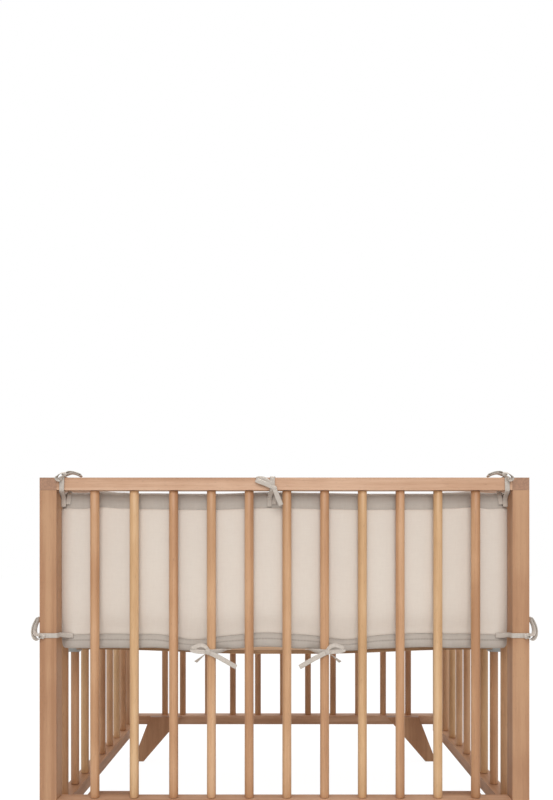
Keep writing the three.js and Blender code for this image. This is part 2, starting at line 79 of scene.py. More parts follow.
class Finish:
    def __init__(self, name):
        self.material = bpy.data.materials.new(name)
        self.material.use_nodes = True
        self.tree = self.material.node_tree
        self.tree.nodes.clear()

    # any node: its type, its settings, then the values or links of its sockets
    def add(self, kind, settings=None, sockets=None, out=0):
        node = self.tree.nodes.new(kind)
        for key, value in (settings or {}).items():
            if key == "stops":
                self.fillRamp(node.color_ramp, value)
            else:
                setattr(node, key, value)
        for key, value in (sockets or {}).items():
            if isinstance(value, Wire):
                self.tree.links.new(value.socket, node.inputs[key])
            else:
                node.inputs[key].default_value = value
        return Wire(self, node.outputs[out])

    def fillRamp(self, ramp, stops):
        while len(ramp.elements) < len(stops):
            ramp.elements.new(0.5)
        for element, (place, colour) in zip(ramp.elements, stops):
            element.position = place
            element.color = colour

    def noise(self, place, scale, detail, roughness=0.5):
        sockets = {"Vector": place, "Scale": scale, "Detail": detail, "Roughness": roughness}
        return self.add("ShaderNodeTexNoise", None, sockets)

    def ramp(self, value, stops):
        return self.add("ShaderNodeValToRGB", {"stops": stops}, {0: value})

    def spread(self, value, low, high, toLow=0.0, toHigh=1.0):
        sockets = {0: value, 1: low, 2: high, 3: toLow, 4: toHigh}
        return self.add("ShaderNodeMapRange", {"interpolation_type": "SMOOTHSTEP"}, sockets)

    def mix(self, factor, first, second, blend="MIX"):
        settings = {"data_type": "RGBA", "blend_type": blend}
        return self.add("ShaderNodeMix", settings, {0: factor, 6: first, 7: second}, 2)

    def sine(self, value):
        return self.add("ShaderNodeMath", {"operation": "SINE"}, {0: value})

    def along(self, vector, axis):
        return self.add("ShaderNodeSeparateXYZ", None, {0: vector}, axis)

    def bump(self, height, strength, distance):
        sockets = {"Height": height, "Strength": strength, "Distance": distance}
        return self.add("ShaderNodeBump", None, sockets)

    def surface(self, **sockets):
        named = {key.replace("_", " "): value for key, value in sockets.items()}
        shader = self.add("ShaderNodeBsdfPrincipled", None, named)
        self.close(shader)
        return self.material

    def close(self, shader):
        output = self.tree.nodes.new("ShaderNodeOutputMaterial")
        self.tree.links.new(shader.socket, output.inputs["Surface"])


# a screen colour of 0 to 255, made linear
def tone(red, green, blue):
    linear = [c / 12.92 if c <= 0.04045 else ((c + 0.055) / 1.055) ** 2.4
              for c in (red / 255, green / 255, blue / 255)]
    return (*linear, 1.0)


# beech: slow growth bands, fine fibre and short flecks along the grain, darker end grain
beech = {
    "bandsPerMetre": 46,
    "fibresPerMetre": 900,
    "flecksPerMetre": 620,
    "lengthways": 0.03,  # how much slower everything changes along the grain
    "fleckLengthways": 0.14,
    "fleckDark": 0.72,
    "fleckShare": 0.55,
    "pieceShift": 9.0,  # every piece shows another part of the grain
    "roughness": (0.4, 0.56),
    "coat": 0.12,
    "coatRoughness": 0.35,
}


def beechFinish(name, axis, dark, middle, light, endGrain):
    finish = Finish(name)
    place = finish.add("ShaderNodeTexCoord", None, None, "Object")
    shift = finish.add("ShaderNodeObjectInfo", None, None, "Random") * beech["pieceShift"]
    slow = [beech["lengthways"] if i == axis else 1.0 for i in range(3)]
    along = place * slow + finish.add("ShaderNodeCombineXYZ", None, {0: shift, 1: shift, 2: shift})
    bands = finish.noise(along, beech["bandsPerMetre"], 4.0, 0.55)
    fibre = finish.noise(along, beech["fibresPerMetre"], 2.0, 0.6)
    patches = finish.noise(place, 7.0, 2.0)
    shortDash = [beech["fleckLengthways"] if i == axis else 1.0 for i in range(3)]
    fleck = finish.spread(finish.noise(place * shortDash, beech["flecksPerMetre"], 1.0), 0.66, 0.72)
    tint = finish.spread(bands + (patches - 0.5) * 0.5 + (fibre - 0.5) * 0.3, 0.3, 0.72)
    colour = finish.ramp(tint, [(0.0, dark), (0.5, middle), (1.0, light)])
    fleckDark = (beech["fleckDark"],) * 3 + (1.0,)
    flecked = finish.mix(1.0, colour, fleckDark, "MULTIPLY")
    colour = finish.mix(fleck * beech["fleckShare"], colour, flecked)
    normal = finish.add("ShaderNodeTexCoord", None, None, "Normal")
    facing = abs(finish.along(normal, axis))
    rings = finish.spread(finish.noise(place, 320.0, 3.0), 0.35, 0.65, 0.86, 1.06)
    ringTone = finish.add("ShaderNodeCombineColor", None, {0: rings, 1: rings, 2: rings})
    endColour = finish.mix(1.0, endGrain, ringTone, "MULTIPLY")
    colour = finish.mix(finish.spread(facing, 0.8, 0.93), colour, endColour)
    low, high = beech["roughness"]
    return finish.surface(
        Base_Color=colour,
        Roughness=finish.spread(fibre, 0.3, 0.7, low, high),
        Normal=finish.bump(fibre * 0.6 - fleck, 0.25, 0.12 * mm),
        Coat_Weight=beech["coat"],
        Coat_Roughness=beech["coatRoughness"],
    )


# plain woven cotton: threads over and under each other, with slubs and a soft nap
cotton = {
    "thread": 0.55 * mm,
    "slub": 260.0,
    "slubLengthways": 0.16,
    "roughness": 0.92,
    "sheen": 0.12,
    "sheenRoughness": 0.5,
    "shine": 0.2,
    "stitchAt": 18.0 * mm,  # height of the stitched line on the lower band
    "stitch": 3.2 * mm,
    "stitchLine": 2.2 * mm,  # half the width of the dip that a line of stitches draws in
    "stitchCore": 0.35,  # share of that width at full depth
    "stitchDip": 3.0,
    # darker stitches, and painted shade laid along the whole dip between them
    "stitchAndDipShade": (0.62, 0.6, 0.58, 1.0),
}


def cottonFinish(name, colour, shade, stitchAt=None):
    finish = Finish(name)
    place = finish.add("ShaderNodeAttribute", {"attribute_name": "clothPlace"}, None, "Vector")
    waves = {}
    for key, channel in (("warp", 0), ("weft", 1)):
        waves[key] = finish.sine(finish.along(place, channel) * (math.pi / cotton["thread"]))
    over = (waves["warp"] * waves["weft"]) > 0.0
    threads = abs(waves["warp"]) * over + abs(waves["weft"]) * (1.0 - over)
    slow = cotton["slubLengthways"]
    slub = finish.noise(place * (1.0, slow, 1.0), cotton["slub"], 3.0, 0.6)
    slubAcross = finish.noise(place * (slow, 1.0, 1.0), cotton["slub"], 3.0, 0.6)
    cloudy = finish.noise(place, 9.0, 3.0, 0.55)
    mottle = slub * 0.5 + slubAcross * 0.5 + (threads - 0.6) * 0.25 + (cloudy - 0.5) * 0.4
    dyed = finish.mix(finish.spread(mottle, 0.25, 0.75), shade, colour)
    height = threads + slub * 0.4
    if stitchAt:
        wide = cotton["stitchLine"]
        off = abs(finish.along(place, 1) - stitchAt)
        line = finish.spread(off, wide * cotton["stitchCore"], wide, 1.0, 0.0)
        beat = finish.sine(finish.along(place, 0) * (2 * math.pi / cotton["stitch"]))
        # painted shade: the stitched dip is darkened all along its length, and the stitches themselves
        # darkest
        sewnAndShaded = finish.mix(1.0, dyed, cotton["stitchAndDipShade"], "MULTIPLY")
        dyed = finish.mix(line * finish.spread(beat, -0.6, 0.2, 0.35, 0.75), dyed, sewnAndShaded)
        height = height - line * cotton["stitchDip"]
    return finish.surface(
        Base_Color=dyed,
        Roughness=finish.spread(cloudy, 0.3, 0.7, cotton["roughness"] - 0.06, cotton["roughness"]),
        Normal=finish.bump(height, 0.3, 0.12 * mm),
        Sheen_Weight=cotton["sheen"],
        Sheen_Roughness=cotton["sheenRoughness"],
        Specular_IOR_Level=cotton["shine"],
    )


# steel brushed along one way, with faint smudges
steel = {"dark": tone(150, 152, 150), "light": tone(186, 187, 184), "roughness": (0.26, 0.46)}


def steelFinish(name):
    finish = Finish(name)
    place = finish.add("ShaderNodeTexCoord", None, None, "Object")
    brushed = finish.noise(place * (1.0, 0.03, 1.0), 1500.0, 2.0)
    smudge = finish.noise(place, 60.0, 3.0)
    return finish.surface(
        Base_Color=finish.mix(brushed, steel["dark"], steel["light"]),
        Metallic=1.0,
        Roughness=finish.spread(brushed + (smudge - 0.5) * 0.5, 0.3, 0.7, *steel["roughness"]),
        Normal=finish.bump(brushed, 0.15, 0.05 * mm),
    )


# plywood: a pale veneer on its faces, thin glued layers on its edges
plywood = {
    "layers": 5,
    "thick": 8 * mm,
    "veneer": [(0.0, tone(172, 132, 94)), (0.6, tone(192, 152, 112)), (1.0, tone(206, 170, 130))],
    "edge": (tone(138, 99, 66), tone(178, 138, 98)),
    "roughness": (0.45, 0.62),
}


def plywoodFinish(name):
    finish = Finish(name)
    place = finish.add("ShaderNodeTexCoord", None, None, "Object")
    grain = finish.noise(place * (0.05, 1.0, 1.0), 160.0, 4.0, 0.6)
    figure = finish.noise(place * (0.12, 1.0, 1.0), 14.0, 3.0, 0.6)
    veneer = finish.ramp(finish.spread(figure * 0.7 + grain * 0.3, 0.3, 0.7), plywood["veneer"])
    layer = finish.sine(finish.along(place, 2) * (math.pi * plywood["layers"] / plywood["thick"]))
    speck = finish.noise(place * (0.2, 0.2, 1.0), 420.0, 2.0)
    edge = finish.mix(finish.spread(layer + (speck - 0.5) * 0.8, -0.3, 0.3), *plywood["edge"])
    normal = finish.add("ShaderNodeTexCoord", None, None, "Normal")
    facing = abs(finish.along(normal, 2))
    return finish.surface(
        Base_Color=finish.mix(finish.spread(facing, 0.4, 0.7), edge, veneer),
        Roughness=finish.spread(grain, 0.3, 0.7, *plywood["roughness"]),
        Normal=finish.bump(grain, 0.2, 0.1 * mm),
    )


# the axis that the grain runs along, then the dark, middle and light tone
railEnd = tone(165, 125, 99)
railTones = [
    ("beechAlongX", 0, tone(176, 132, 100), tone(194, 152, 121), tone(208, 169, 139)),
    ("beechAlongY", 1, tone(174, 130, 98), tone(190, 146, 114), tone(202, 162, 131)),
    ("beechAlongZ", 2, tone(166, 120, 86), tone(178, 133, 98), tone(189, 146, 110)),
]
barTones = {
    "yellow": ("beechBarYellow", 2, tone(192, 150, 106), tone(207, 166, 122), tone(217, 180, 138)),
    "tan": ("beechBarTan", 2, tone(188, 143, 104), tone(203, 159, 119), tone(213, 172, 134)),
    "red": ("beechBarRed", 2, tone(176, 129, 92), tone(192, 145, 106), tone(204, 160, 122)),
}
railFinishes = [beechFinish(*row, railEnd) for row in railTones]
barFinishes = {key: beechFinish(*row, railEnd) for key, row in barTones.items()}
boardFinish = plywoodFinish("plywood")
bracketFinish = steelFinish("brushedSteel")
bandFinish = cottonFinish("bandCotton", tone(188, 180, 171), tone(180, 171, 162), cotton["stitchAt"])
ribbonFinish = cottonFinish("ribbonCotton", tone(200, 191, 181), tone(184, 174, 164))
panelFinish = cottonFinish("panelCotton", tone(221, 211, 200), tone(217, 206, 195))
print("finishes:", len(bpy.data.materials))


# pieces made here, and what they stand for
def addPiece(name, points, faces, finish, stands, clothPlace=None):
    mesh = bpy.data.meshes.new(name)
    mesh.from_pydata([tuple(p) for p in points], [], faces)
    if clothPlace is not None:
        layer = mesh.attributes.new("clothPlace", "FLOAT_VECTOR", "POINT")
        layer.data.foreach_set("vector", np.asarray(clothPlace, np.float32).ravel())
    work = bmesh.new()
    work.from_mesh(mesh)
    bmesh.ops.recalc_face_normals(work, faces=work.faces)
    work.to_mesh(mesh)
    work.free()
    mesh.polygons.foreach_set("use_smooth", [True] * len(mesh.polygons))
    mesh.materials.append(finish)
    piece = bpy.data.objects.new(name, mesh)
    bpy.context.scene.collection.objects.link(piece)
    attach(piece, "root")
    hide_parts(*stands)
    return piece


# frame pieces keep their solids, with eased edges
easedEdges = {"rail": 2.6 * mm, "leg": 3.0 * mm, "board": 0.8 * mm, "bracket": 0.9 * mm}
easing = {"segments": 3, "sharperThan": 40}  # degrees


def softenEdges(piece, width):
    bevel = piece.modifiers.new("softEdges", "BEVEL")
    bevel.width = width
    bevel.segments = easing["segments"]
    bevel.limit_method = "ANGLE"
    bevel.angle_limit = math.radians(easing["sharperThan"])


def dress(piece, finish, width):
    piece.data.materials.clear()
    piece.data.materials.append(finish)
    softenEdges(piece, width)


for name, piece in nodes.items():
    if name.startswith(("post_", "leg_")):
        dress(piece, railFinishes[2], easedEdges["leg" if name.startswith("leg_") else "rail"])
    elif name in ("top_rail_front", "low_rail_front"):
        dress(piece, railFinishes[0], easedEdges["rail"])
    elif name.startswith(("top_rail_", "low_rail_")):
        dress(piece, railFinishes[1], easedEdges["rail"])
    elif name == "floor_board":
        dress(piece, boardFinish, easedEdges["board"])
    elif name.startswith("bracket_"):
        dress(piece, bracketFinish, easedEdges["bracket"])
print("frame pieces dressed")


# turned bars
bar = {
    "sides": 28,
    "rings": 12,
    "shoulder": 1.4 * mm,
    "front": ["red", "yellow", "red", "tan", "red", "tan", "red", "yellow", "red", "yellow", "red"],
    "short": ["tan", "red", "yellow", "tan", "red", "tan", "yellow", "red"],
}


def turnedBar(x, y, low, high, radius):
    shoulder = bar["shoulder"]
    profile = [
        (low, radius - shoulder), (low + 0.3 * shoulder, radius - 0.45 * shoulder), (low + shoulder, radius),
    ]
    ends = len(profile)
    step = (high - low - 2 * shoulder) / bar["rings"]
    profile += [(low + shoulder + step * (i + 1), radius) for i in range(bar["rings"] - 1)]
    profile += [(low + high - z, r) for z, r in reversed(profile[:ends])]
    points, faces, sides = [], [], bar["sides"]
    for z, r in profile:
        for k in range(sides):
            turn = 2 * math.pi * k / sides
            points.append((x + r * math.cos(turn), y + r * math.sin(turn), z))
    rings = len(profile)
    for i in range(rings - 1):
        for k in range(sides):
            n = (k + 1) % sides
            faces.append((i * sides + k, i * sides + n, (i + 1) * sides + n, (i + 1) * sides + k))
    faces.append(tuple(reversed(range(sides))))
    faces.append(tuple((rings - 1) * sides + k for k in range(sides)))
    return points, faces


def addBars():
    for name in sorted(n for n in nodes if n.startswith("dowel_")):
        low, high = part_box(name)
        side, number = name.split("_")[1:]
        middle = (low + high) / 2
        points, faces = turnedBar(middle.x, middle.y, low.z, high.z, (high.x - low.x) / 2)
        tints = bar["front"] if side == "front" else bar["short"]
        finish = barFinishes[tints[int(number) - 1]]
        addPiece(f"bar_{side}_{number}", points, faces, finish, [name])


addBars()

# far side: two rails with the bars let into them
farSide = {
    "count": 11,
    "pitch": 79.5 * mm,
    "shift": -5 * mm,
    "stray": 23 * mm,  # the leftmost bar stands off the even pitch
    "topRail": 26 * mm,
    "lowRail": 28 * mm,
    "letIn": 4 * mm,
    "finish": "red",
}


def boxFaces(low, high):
    points = [(x, y, z) for x in (low[0], high[0]) for y in (low[1], high[1]) for z in (low[2], high[2])]
    faces = [(0, 1, 3, 2), (4, 6, 7, 5), (0, 4, 5, 1), (2, 3, 7, 6), (0, 2, 6, 4), (1, 5, 7, 3)]
    return points, faces


def addFarSide():
    low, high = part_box("rear_grille")
    y = (low.y + high.y) / 2
    spans = {
        "far_rail_top": (high.z - farSide["topRail"], high.z),
        "far_rail_low": (low.z, low.z + farSide["lowRail"]),
    }
    for name, (bottom, top) in spans.items():
        points, faces = boxFaces((low.x, low.y, bottom), (high.x, high.y, top))
        rail = addPiece(name, points, faces, railFinishes[0], ["rear_grille"])
        rail.data.polygons.foreach_set("use_smooth", [False] * len(faces))
        softenEdges(rail, easedEdges["rail"])
    radius = (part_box("dowel_front_1")[1].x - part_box("dowel_front_1")[0].x) / 2
    finish = barFinishes[farSide["finish"]]
    bottom = spans["far_rail_low"][1] - farSide["letIn"]
    top = spans["far_rail_top"][0] + farSide["letIn"]
    for i in range(farSide["count"]):
        x = (i - (farSide["count"] - 1) / 2) * farSide["pitch"] + farSide["shift"]
        x += farSide["stray"] if i == 0 else 0
        points, faces = turnedBar(x, y, bottom, top, radius)
        addPiece(f"bar_far_{i + 1}", points, faces, finish, ["rear_grille"])


addFarSide()
print("bars done")


# bumper: one padded strip along the front that turns both corners, in millimetres
bumper = {
    "length": 1800,
    "setBack": 29,
    "corner": 30,
    "base": 452,
    "top": 780,
    "step": 5.0,  # between the points of its mesh
    "taper": 32,  # the filling thins out at both ends
    "thin": 0.35,
    "fill": 0.55,
    # share of the height, then how far the outer and the inner face are set back
    "section": [
        (0.0, 9.0, 12.5), (0.015, 5.6, 16.0), (0.05, 4.8, 18.5), (0.088, 6.4, 21.0), (0.135, 6.2, 22.5),
        (0.22, 4.0, 24.0), (0.36, 2.0, 25.0), (0.52, 1.8, 25.5), (0.68, 2.0, 25.0), (0.82, 2.6, 23.5),
        (0.875, 4.0, 22.0), (0.896, 5.8, 20.5), (0.95, 4.6, 18.0), (0.985, 5.6, 15.5), (1.0, 9.0, 12.5),
    ],
    "lowerSeam": 3,
    "upperSeam": 11,
    # distance along the strip from the middle of the front, then how far the edge is lifted
    "topEdge": [
        (-900, 2.5), (-700, -2), (-520, 0.5), (-468, 2.5), (-430, 1.5), (-392, 5), (-345, 2.5), (-310, 0.5),
        (-150, -0.5), (-28, 3), (60, 1.5), (190, -0.5), (315, -0.5), (350, 2.5), (400, 5), (438, 1),
        (468, 2.5), (520, 0.5), (700, -2), (900, 2.5),
    ],
    "bottomEdge": [
        (-900, -3), (-720, 0), (-480, -3), (-330, -3), (-281, -1.5), (-195, -7), (-115, -3.5), (-40, 0.5),
        (45, -3.5), (130, -7), (209, -3), (300, -0.5), (370, -3), (480, -3), (720, 0), (900, -3),
    ],
    # soft upright folds: where, how deep and how wide
    "folds": [(-362, 6, 42), (-205, 1.6, 60), (118, 1.8, 60), (385, 6.5, 40), (-640, 4, 60), (655, 4.5, 60)],
    "pucker": 0.55,  # short wrinkles that stand off the seams
    "puckerPitch": 15.0,
    "puckerReach": 16.0,
    "puckerClear": 2.0,  # none right on the seam
    "puckerWander": (2.2, 60, 5, 11),  # how far, over what length, crossed waves, seed
    "puckerLively": (0.55, 0.45, 40, 4, 17),  # usual, its change, over what length, crossed waves, seed
    "groove": 0.5,  # depth of a seam
    "grooveWide": 1.8,
    "roll": 8.0,  # how far the panel rolls in towards the lower seam
    "rollReach": (28.0, 7.0),  # above and under that seam
    "rollFade": 60.0,  # none round the corners
    "cornerPush": 5.5,  # the filling pushes the outside of each corner out
    "cornerReach": (491, 18),
    "cornerRim": 0.004,  # share of the height, so that the rims are pushed out too
    "cornerEven": 0.12,
    # the low ties pull the lower seam down: where, how far and how wide
    "seamDrop": [(-190, 8, 62), (128, 8, 62)],
    "seamDropReach": 0.07,  # share of the height
    "ridge": 0.7,  # the turned-in edge of the lower band, just under its seam
    "ridgeHigh": 11.0,
    "ridgeSoft": 0.7,
    "ridgeClear": 2.5,
    "billow": 0.9,  # slow unevenness of the filling
    "billowLength": (46, 60),
    "billowWaves": 7,
    "billowSeed": {"outer": 3, "inner": 5},
    "billowEven": 0.6,
    "innerCloth": 0.5,  # metres, so that the inner face is cut from another part of the cloth
}
penWidth, penDepth = 1020, 790
frontRun = penWidth / 2 - bumper["setBack"] - bumper["corner"]
cornerRun = bumper["corner"] * math.pi / 2
frontPlane = -(penDepth / 2 - bumper["setBack"])


def planAt(along):
    side = np.where(along < 0, -1.0, 1.0)
    far = np.abs(along)
    turn = np.clip(far - frontRun, 0, cornerRun) / bumper["corner"]
    past = np.maximum(0, far - frontRun - cornerRun)
    x = side * (np.minimum(far, frontRun) + bumper["corner"] * np.sin(turn))
    y = frontPlane + bumper["corner"] * (1 - np.cos(turn)) + past
    return x, y, -side * np.sin(turn), np.cos(turn)


def liftAt(table, along):
    stops, lifts = np.array(table, float).T
    after = np.clip(np.searchsorted(stops, along), 1, len(stops) - 1)
    share = np.clip((along - stops[after - 1]) / (stops[after] - stops[after - 1]), 0, 1)
    return lifts[after - 1] + (lifts[after] - lifts[after - 1]) * (1 - np.cos(np.pi * share)) / 2


# smooth humps from a table of where, how far and how wide
def humps(table, along):
    return sum(far * np.exp(-(((along - middle) / wide) ** 2)) for middle, far, wide in table)


# a smooth line through a table's points that never overshoots them
def easeThrough(stops, values, at):
    step = np.diff(stops)
    slope = np.diff(values) / step
    tangent = np.zeros(len(stops))
    same = slope[:-1] * slope[1:] > 0
    tangent[1:-1][same] = 2 * slope[:-1][same] * slope[1:][same] / (slope[:-1][same] + slope[1:][same])
    tangent[0], tangent[-1] = slope[0], slope[-1]
    i = np.clip(np.searchsorted(stops, at, side="right") - 1, 0, len(stops) - 2)
    t = (at - stops[i]) / step[i]
    return ((2 * t**3 - 3 * t**2 + 1) * values[i] + (t**3 - 2 * t**2 + t) * step[i] * tangent[i]
            + (3 * t**2 - 2 * t**3) * values[i + 1] + (t**3 - t**2) * step[i] * tangent[i + 1])


# slow unevenness: a few crossed waves with settled phases
def unevenness(u, v, waves, seed):
    settled = np.random.default_rng(seed)
    total = 0.0
    for _ in range(waves):
        turn = settled.uniform(0, 2 * np.pi)
        phase = settled.uniform(0, 2 * np.pi)
        speed = settled.uniform(0.6, 1.7)
        total = total + np.sin(speed * (u * np.cos(turn) + v * np.sin(turn)) + phase)
    return total / math.sqrt(waves)


def shareRows():
    height = bumper["top"] - bumper["base"]
    shares = [s for s, _, _ in bumper["section"]]
    rows, seams = [], {}
    for i, (low, high) in enumerate(zip(shares, shares[1:])):
        seams[i] = len(rows)
        count = max(2, round((high - low) * height / bumper["step"]))
        rows += [low + (high - low) * k / count for k in range(count)]
    return np.array(rows + [1.0]), seams


def faceDepth(along, share, height, face):
    stops, outer, inner = np.array(bumper["section"]).T
    outward = -1.0 if face == "outer" else 1.0
    depth = easeThrough(stops, outer if face == "outer" else inner, share)
    middle = np.interp(share, stops, (outer + inner) / 2)
    left = np.clip((bumper["length"] / 2 - np.abs(along)) / bumper["taper"], 0, 1)
    fullness = bumper["thin"] + (1 - bumper["thin"]) * np.sin(left * np.pi / 2)
    long, tall = bumper["billowLength"]
    uneven = unevenness(along / long, height / tall, bumper["billowWaves"], bumper["billowSeed"][face])
    rise = bumper["billow"] * uneven * np.sin(np.pi * share) ** bumper["billowEven"]
    if face == "outer":
        cornerAt, cornerWide = bumper["cornerReach"]
        atCorner = np.exp(-(((np.abs(along) - cornerAt) / cornerWide) ** 2))
        inRims = np.clip(share, bumper["cornerRim"], 1 - bumper["cornerRim"])
        rise = rise + bumper["cornerPush"] * atCorner * np.sin(np.pi * inRims) ** bumper["cornerEven"]
        much, run, waves, seed = bumper["puckerWander"]
        wander = much * unevenness(along / run, along * 0, waves, seed)
        usual, change, run, waves, seed = bumper["puckerLively"]
        for key, sign in (("lowerSeam", 1), ("upperSeam", -1)):
            off = height - (bumper["section"][bumper[key]][0] * (bumper["top"] - bumper["base"]))
            wave = np.sin(2 * np.pi * along / bumper["puckerPitch"] + wander)
            lively = usual + change * unevenness(along / run, along * 0, waves, seed + sign)
            fading = np.exp(-np.abs(off) / bumper["puckerReach"]) * (np.abs(off) > bumper["puckerClear"])
            rise = rise + bumper["pucker"] * wave * lively * fading
            rise = rise - bumper["groove"] * np.exp(-((off / bumper["grooveWide"]) ** 2))
            if key == "lowerSeam":
                past = (-off - bumper["ridgeHigh"]) / bumper["ridgeSoft"]
                ridge = bumper["ridge"] / (1 + np.exp(past)) * (off < 0)
                rise = rise + ridge * (1 - np.exp(-((off / bumper["ridgeClear"]) ** 2)))
                above, under = bumper["rollReach"]
                straight = np.clip((frontRun - np.abs(along)) / bumper["rollFade"], 0, 1)
                rolled = np.exp(-((off / np.where(off > 0, above, under)) ** 2))
                rise = rise - bumper["roll"] * rolled * straight
    return middle + (depth - middle) * fullness + outward * rise * fullness


def bumperGrid(face):
    rows, seams = shareRows()
    count = round(bumper["length"] / bumper["step"])
    along = np.linspace(-bumper["length"] / 2, bumper["length"] / 2, count + 1)[:, None]
    share = rows[None, :]
    height = share * (bumper["top"] - bumper["base"]) + along * 0
    depth = faceDepth(along, share, height, face) + humps(bumper["folds"], along)
    x, y, inX, inY = planAt(along)
    base = bumper["base"] + liftAt(bumper["bottomEdge"], along)
    top = bumper["top"] + liftAt(bumper["topEdge"], along)
    z = base + (top - base) * share + depth * 0
    if face == "outer":
        seamAt = bumper["section"][bumper["lowerSeam"]][0]
        pull = humps(bumper["seamDrop"], along)
        z = z - pull * np.exp(-(((share - seamAt) / bumper["seamDropReach"]) ** 2))
    points = np.stack([x + inX * depth, y + inY * depth, z], axis=-1)
    place = np.stack([along + depth * 0, height, depth * 0], axis=-1)
    return points * mm, place * mm, seams


def gridFaces(columns, rows, first=0, flip=False):
    faces = []
    for c in range(columns - 1):
        for r in range(rows - 1):
            a = first + c * rows + r
            quad = (a, a + rows, a + rows + 1, a + 1)
            faces.append(quad[::-1] if flip else quad)
    return faces


# two facing grids closed round their rims
def closeGrids(columns, rows):
    second = columns * rows
    faces = gridFaces(columns, rows) + gridFaces(columns, rows, second, True)
    rim = [c * rows for c in range(columns)] + [(columns - 1) * rows + r for r in range(1, rows)]
    rim += [c * rows + rows - 1 for c in range(columns - 2, -1, -1)] + [r for r in range(rows - 2, 0, -1)]
    for a, b in zip(rim, rim[1:] + rim[:1]):
        faces.append((b, a, second + a, second + b))
    return faces


def addBumper():
    outer, outerPlace, seams = bumperGrid("outer")
    inner, innerPlace, _ = bumperGrid("inner")
    columns, rows = outer.shape[:2]
    innerPlace = innerPlace + np.array([0, bumper["innerCloth"], 0])
    points = np.concatenate([outer.reshape(-1, 3), inner.reshape(-1, 3)])
    place = np.concatenate([outerPlace.reshape(-1, 3), innerPlace.reshape(-1, 3)])
    faces = closeGrids(columns, rows)
    pad = addPiece("padded_strip", points, faces, bandFinish, ["bumper_pad"], place)
    return pad, (columns, rows), seams, outerPlace


# cream panel on the outer face, between the two seams
panel = {"end": 26, "lift": 0.35 * mm, "thick": 1.2 * mm, "flat": (1.748, 0.262)}


def addPanel(pad, size, seams, outerPlace):
    columns, rows = size
    mesh = pad.data
    points = np.zeros(len(mesh.vertices) * 3)
    mesh.vertices.foreach_get("co", points)
    normals = np.zeros(len(mesh.vertices) * 3)
    mesh.vertices.foreach_get("normal", normals)
    points = points.reshape(-1, 3)[: columns * rows].reshape(columns, rows, 3)
    normals = normals.reshape(-1, 3)[: columns * rows].reshape(columns, rows, 3)
    inset = round(panel["end"] / bumper["step"])
    low, high = seams[bumper["lowerSeam"]], seams[bumper["upperSeam"]]
    cut = (slice(inset, columns - inset), slice(low, high + 1))
    points, normals, place = points[cut], normals[cut], outerPlace[cut]
    wide, tall = points.shape[:2]
    front = points + normals * (panel["lift"] + panel["thick"])
    back = points + normals * panel["lift"]
    both = np.concatenate([front.reshape(-1, 3), back.reshape(-1, 3)])
    bothPlace = np.concatenate([place.reshape(-1, 3)] * 2)
    faces = closeGrids(wide, tall)
    sheet = addPiece("cream_panel", both, faces, panelFinish, ["back_panel"], bothPlace)


pad, padSize, padSeams, padPlace = addBumper()
addPanel(pad, padSize, padSeams, padPlace)
print("bumper done")

# ties: flat ribbons, in millimetres from the tie's own place on the playpen's outside face
ribbon = {
    "wide": 10.0,
    "thick": 1.3,
    "edgeThin": 0.45,  # share of the thickness that its edges lose
    "step": 1.6,
    "across": 6,
    "cup": 0.5,  # how far it cups, over what length
    "cupRun": 9,
    "pinchRun": 5,
    "rounding": 2,
    "perStop": 12,
}
knotted = {"around": 28, "up": 14, "pleat": 0.07, "pleats": 5, "pleatTurn": 2.2, "cloth": 5}
ribbonLift = 1.1  # how far its middle stands off the bands
woodLift = ribbonLift + 1  # off rails and posts
barLift = ribbonLift + 0.6
railBottom, penHeight, postSide, barRadius = 784, 810, 35, 9.5
bandDepth = {"upper": 4.6, "lower": 4.8}
onUpperBand = bumper["setBack"] + bandDepth["upper"] - ribbonLift
onLowerBand = bumper["setBack"] + bandDepth["lower"] - ribbonLift


# a line with its corners cut off
def roundCorners(points):
    points = np.array(points, float)
    for _ in range(ribbon["rounding"]):
        near = points[:-1] * 0.75 + points[1:] * 0.25
        far = points[:-1] * 0.25 + points[1:] * 0.75
        points = np.concatenate([points[:1], np.stack([near, far], 1).reshape(-1, 3)[1:-1], points[-1:]])
    return points


# a smooth curve through every stop
def smoothLine(stops):
    points = np.array(stops, float)
    padded = np.concatenate([[2 * points[0] - points[1]], points, [2 * points[-1] - points[-2]]])
    line = []
    for p0, p1, p2, p3 in zip(padded, padded[1:], padded[2:], padded[3:]):
        spans = [np.linalg.norm(b - a) for a, b in ((p0, p1), (p1, p2), (p2, p3))]
        knots = np.cumsum([0] + [max(1e-6, span) ** 0.5 for span in spans])
        for t in np.linspace(knots[1], knots[2], ribbon["perStop"], endpoint=False):
            a1 = p0 + (p1 - p0) * (t - knots[0]) / (knots[1] - knots[0])
            a2 = p1 + (p2 - p1) * (t - knots[1]) / (knots[2] - knots[1])
            a3 = p2 + (p3 - p2) * (t - knots[2]) / (knots[3] - knots[2])
            b1 = a1 + (a2 - a1) * (t - knots[0]) / (knots[2] - knots[0])
            b2 = a2 + (a3 - a2) * (t - knots[1]) / (knots[3] - knots[1])
            line.append(b1 + (b2 - b1) * (t - knots[1]) / (knots[2] - knots[1]))
    return np.array(line + [points[-1]])


def evenLine(points, step):
    run = np.concatenate([[0], np.cumsum(np.linalg.norm(np.diff(points, axis=0), axis=1))])
    at = np.linspace(0, run[-1], max(3, round(run[-1] / step) + 1))
    return np.stack([np.interp(at, run, points[:, k]) for k in range(3)], 1), at


